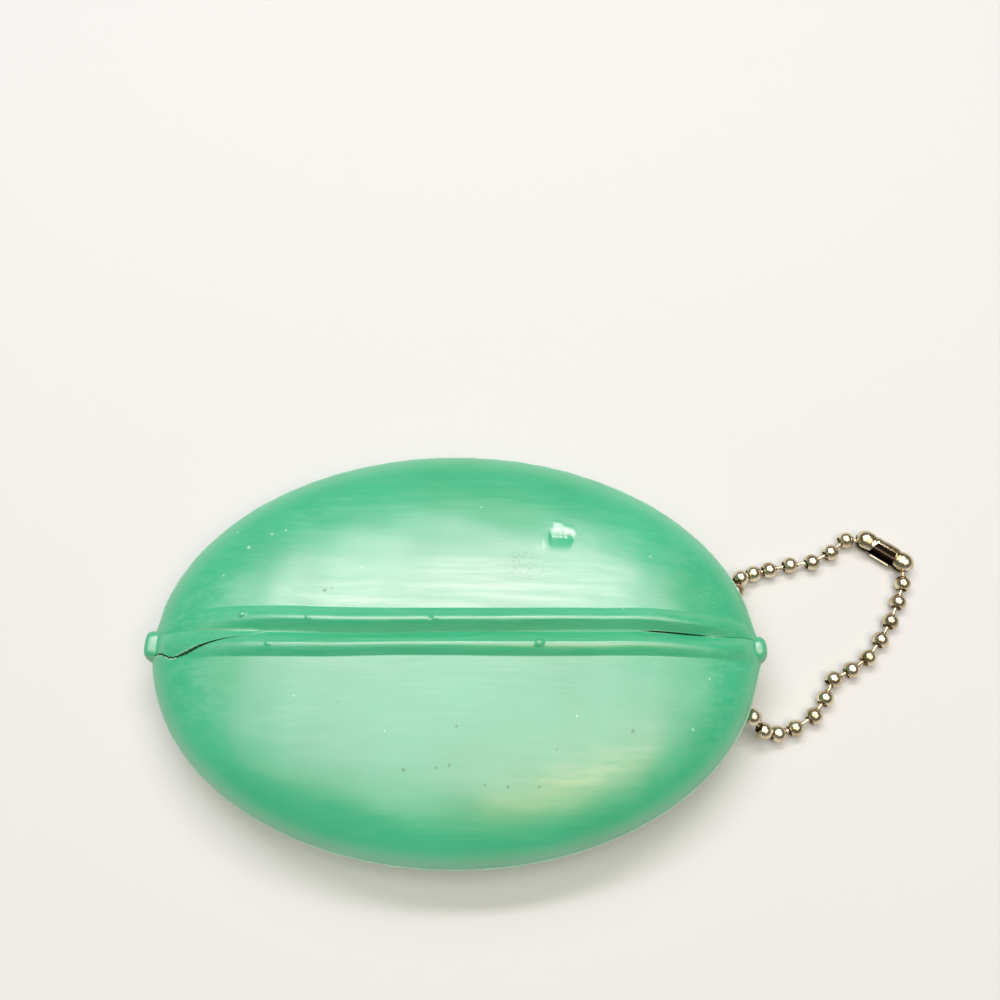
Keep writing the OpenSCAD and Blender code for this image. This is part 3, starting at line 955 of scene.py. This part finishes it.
nickel = nickel_plate()
shell = bead_profile()
for body, numbers in CHAIN_BODIES.items():
    for number in numbers:
        before, after = ROUTE[max(number - 2, 0)], ROUTE[min(number, len(ROUTE) - 1)]
        grid = revolve(shell, ROUTE[number - 1], after - before, 28)
        grid = closed_round(grid.transpose(1, 0, 2))
        points, marks, faces = close_grid(grid, np.zeros(grid.shape), [])
        bead = put_mesh(f"bead_{number:02d}_shell", points, faces, nickel)
        face_outwards(bead)
        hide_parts(f"bead_{number:02d}")
        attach(bead, body)


def link_profile(length):
    """Radius and distance along a link from one head to the other: a flat head, the wire and the
    other head, with rounded corners."""
    head, wire, thick = LINK_HEAD, LINK_WIRE, LINK_HEAD_THICK
    half = np.array([
        [0, 0], [head - 0.06, 0], [head, 0.05], [head, thick - 0.05], [head - 0.06, thick],
        [wire, thick], [wire, thick + 0.02],
    ])
    half = half + [0, LINK_HEAD_AT]
    return np.concatenate([half, [[wire, length / 2]], half[::-1] * [1, -1] + [0, length]])


for body, (name, numbers) in LINK_GROUPS.items():
    parts, face_list, count = [], [], 0
    for number in numbers:
        span = ROUTE[number] - ROUTE[number - 1]
        grid = revolve(link_profile(np.linalg.norm(span)), ROUTE[number - 1], span, 20)
        points, marks, faces = close_grid(grid, np.zeros(grid.shape), [])
        parts.append(points)
        face_list += [[k + count for k in f] for f in faces]
        count += len(points)
    links = put_mesh(f"{name}_wire", np.concatenate(parts), face_list, nickel)
    face_outwards(links)
    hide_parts(name)
    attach(links, body)

# The connector.
# A strip of plated sheet rolled into a trough with a cup at each end. The end beads sit in the
# cups, their wires leave by the slot, and a bead goes in by the window in the middle.

SOCKET = 1.3
SHEET = 0.22
SLOT_HALF = 0.72
SLOT_ROLL = np.radians(12)
WINDOW_HALF = 1.75
WINDOW_HALF_ANGLE = np.radians(54)
WINDOW_LEAN = np.radians(46)
NECK_PINCH = 0.1
# A deep brown inside the fold: tarnish, and painted shade.
TARNISH_AND_SHADE = linear(92, 76, 62)


def trough_line(span, radius):
    """Place and radius along the trough from one cup's pole to the other's: a quarter circle, a
    straight run between the end beads and a quarter circle back."""
    cup = np.linspace(-np.pi / 2, 0, 13)[:-1]
    run = np.linspace(-span / 2, span / 2, 40)
    start, end = -span / 2 + radius * np.sin(cup), span / 2 - radius * np.sin(cup[::-1])
    places = np.concatenate([start, run, end])
    cups = radius * np.cos(cup)
    return places, np.concatenate([cups, np.full(len(run), radius), cups[::-1]])


def trough(first, last):
    """The rolled sheet as a closed ring per station: an outer arc and an inner arc about the line
    between the end beads, which leave the slot open. At the window the opening is wider and its
    middle leans up, and the sheet is pinched at each neck beside it."""
    span = np.linalg.norm(last - first)
    s_out, r_out = trough_line(span, SOCKET + SHEET)
    s_in, r_in = trough_line(span, SOCKET)
    pinch = 1 - NECK_PINCH * hump(np.abs(s_out) - WINDOW_HALF - 0.25, 0.3)
    slot = np.arcsin(np.clip(SLOT_HALF / np.maximum(r_out, SLOT_HALF), 0, 1))
    window = 1 - fade(np.abs(s_out), WINDOW_HALF - 0.3, WINDOW_HALF + 0.15)
    opening = (slot + (WINDOW_HALF_ANGLE - slot) * window)[:, None]
    lean = (WINDOW_LEAN * window)[:, None]
    arc = np.linspace(0, 1, 41)[None, :]
    phi = np.pi + (opening - lean) + (2 * np.pi - 2 * opening) * arc
    rows = []
    for places, radii, turn in ((s_out, r_out, phi), (s_in, r_in, phi[:, ::-1])):
        s, r = places[:, None], (radii * pinch)[:, None]
        rows.append(np.stack([s + 0 * turn, r * np.cos(turn), r * np.sin(turn)], -1))
    # The inner face of the sheet is marked for tarnish and painted shade.
    browned_and_shaded = np.concatenate([np.zeros_like(phi), np.ones_like(phi)], 1)
    return np.concatenate(rows, 1), np.stack([browned_and_shaded, browned_and_shaded, browned_and_shaded], -1)


def stand_in_line(grid, first, last, roll):
    """Turns a grid drawn along X about its middle to lie between two points, rolled about its own
    length."""
    along = (last - first) / np.linalg.norm(last - first)
    side = np.cross([0, 0, 1.0], along)
    up = np.cross(along, side)
    y = np.cos(roll) * side + np.sin(roll) * up
    z = -np.sin(roll) * side + np.cos(roll) * up
    return (first + last) / 2 + grid @ np.array([along, y, z])


def tarnished_and_shaded_nickel():
    """The same plate, tarnished inside the fold where it is never rubbed, with painted shade there.
    """
    material = nickel.copy()
    material.name = "tarnished_and_shaded_nickel"
    tree = material.node_tree
    shader = tree.nodes["Principled BSDF"]
    plated = shader.inputs["Base Color"].links[0].from_socket
    browned_and_shaded = mix_colour(tree, read_marks(tree).outputs["Red"], plated, TARNISH_AND_SHADE)
    tree.links.new(browned_and_shaded, shader.inputs["Base Color"])
    return material


grid, marks = trough(ROUTE[0], ROUTE[-1])
grid = stand_in_line(grid, ROUTE[0], ROUTE[-1], SLOT_ROLL)
points, marks, faces = close_grid(grid, marks, [])
connector = put_mesh("connector_fold", points, faces, tarnished_and_shaded_nickel(), marks)
face_outwards(connector)
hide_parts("connector")
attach(connector, "coupling")
